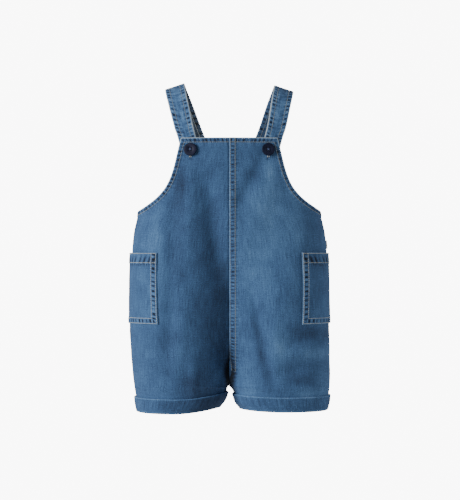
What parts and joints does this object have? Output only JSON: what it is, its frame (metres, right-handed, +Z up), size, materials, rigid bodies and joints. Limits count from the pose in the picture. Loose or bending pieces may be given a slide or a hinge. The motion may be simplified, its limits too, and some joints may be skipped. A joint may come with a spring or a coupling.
{
  "type": "shortalls",
  "caption": "Baby shortalls in washed blue denim: buttoned shoulder straps, square bib, felled centre seam, wide side pockets and turned-up leg cuffs, filled out and hollow",
  "frame": {"origin": "midway between the crowns of the two shoulder straps, at the height of their undersides, where the garment is held up", "axes": "+X is the wearer's left, -Y is the front, +Z is up. The plane of the two side seams and the inseams is Y = 0, and the centre seams lie in the plane X = 0."},
  "size_m": [0.2524, 0.1125, 0.4093],
  "materials": {
    "body_denim": "washed twill, matt",
    "strap_denim": "washed twill, matt",
    "pocket_denim": "washed twill, matt",
    "cuff_denim": "washed twill, matt",
    "button_resin": "satin",
    "label_tape": "plain woven tape"
  },
  "bodies": {
    "root": {"front_left": "body_denim", "front_right": "body_denim", "back_left": "body_denim", "back_right": "body_denim", "strap_left": "strap_denim", "strap_right": "strap_denim", "pocket_left": "pocket_denim", "pocket_right": "pocket_denim", "cuff_left": "cuff_denim", "cuff_right": "cuff_denim", "button_left": "button_resin", "button_right": "button_resin", "side_label": "label_tape"}
  },
  "joints": []
}
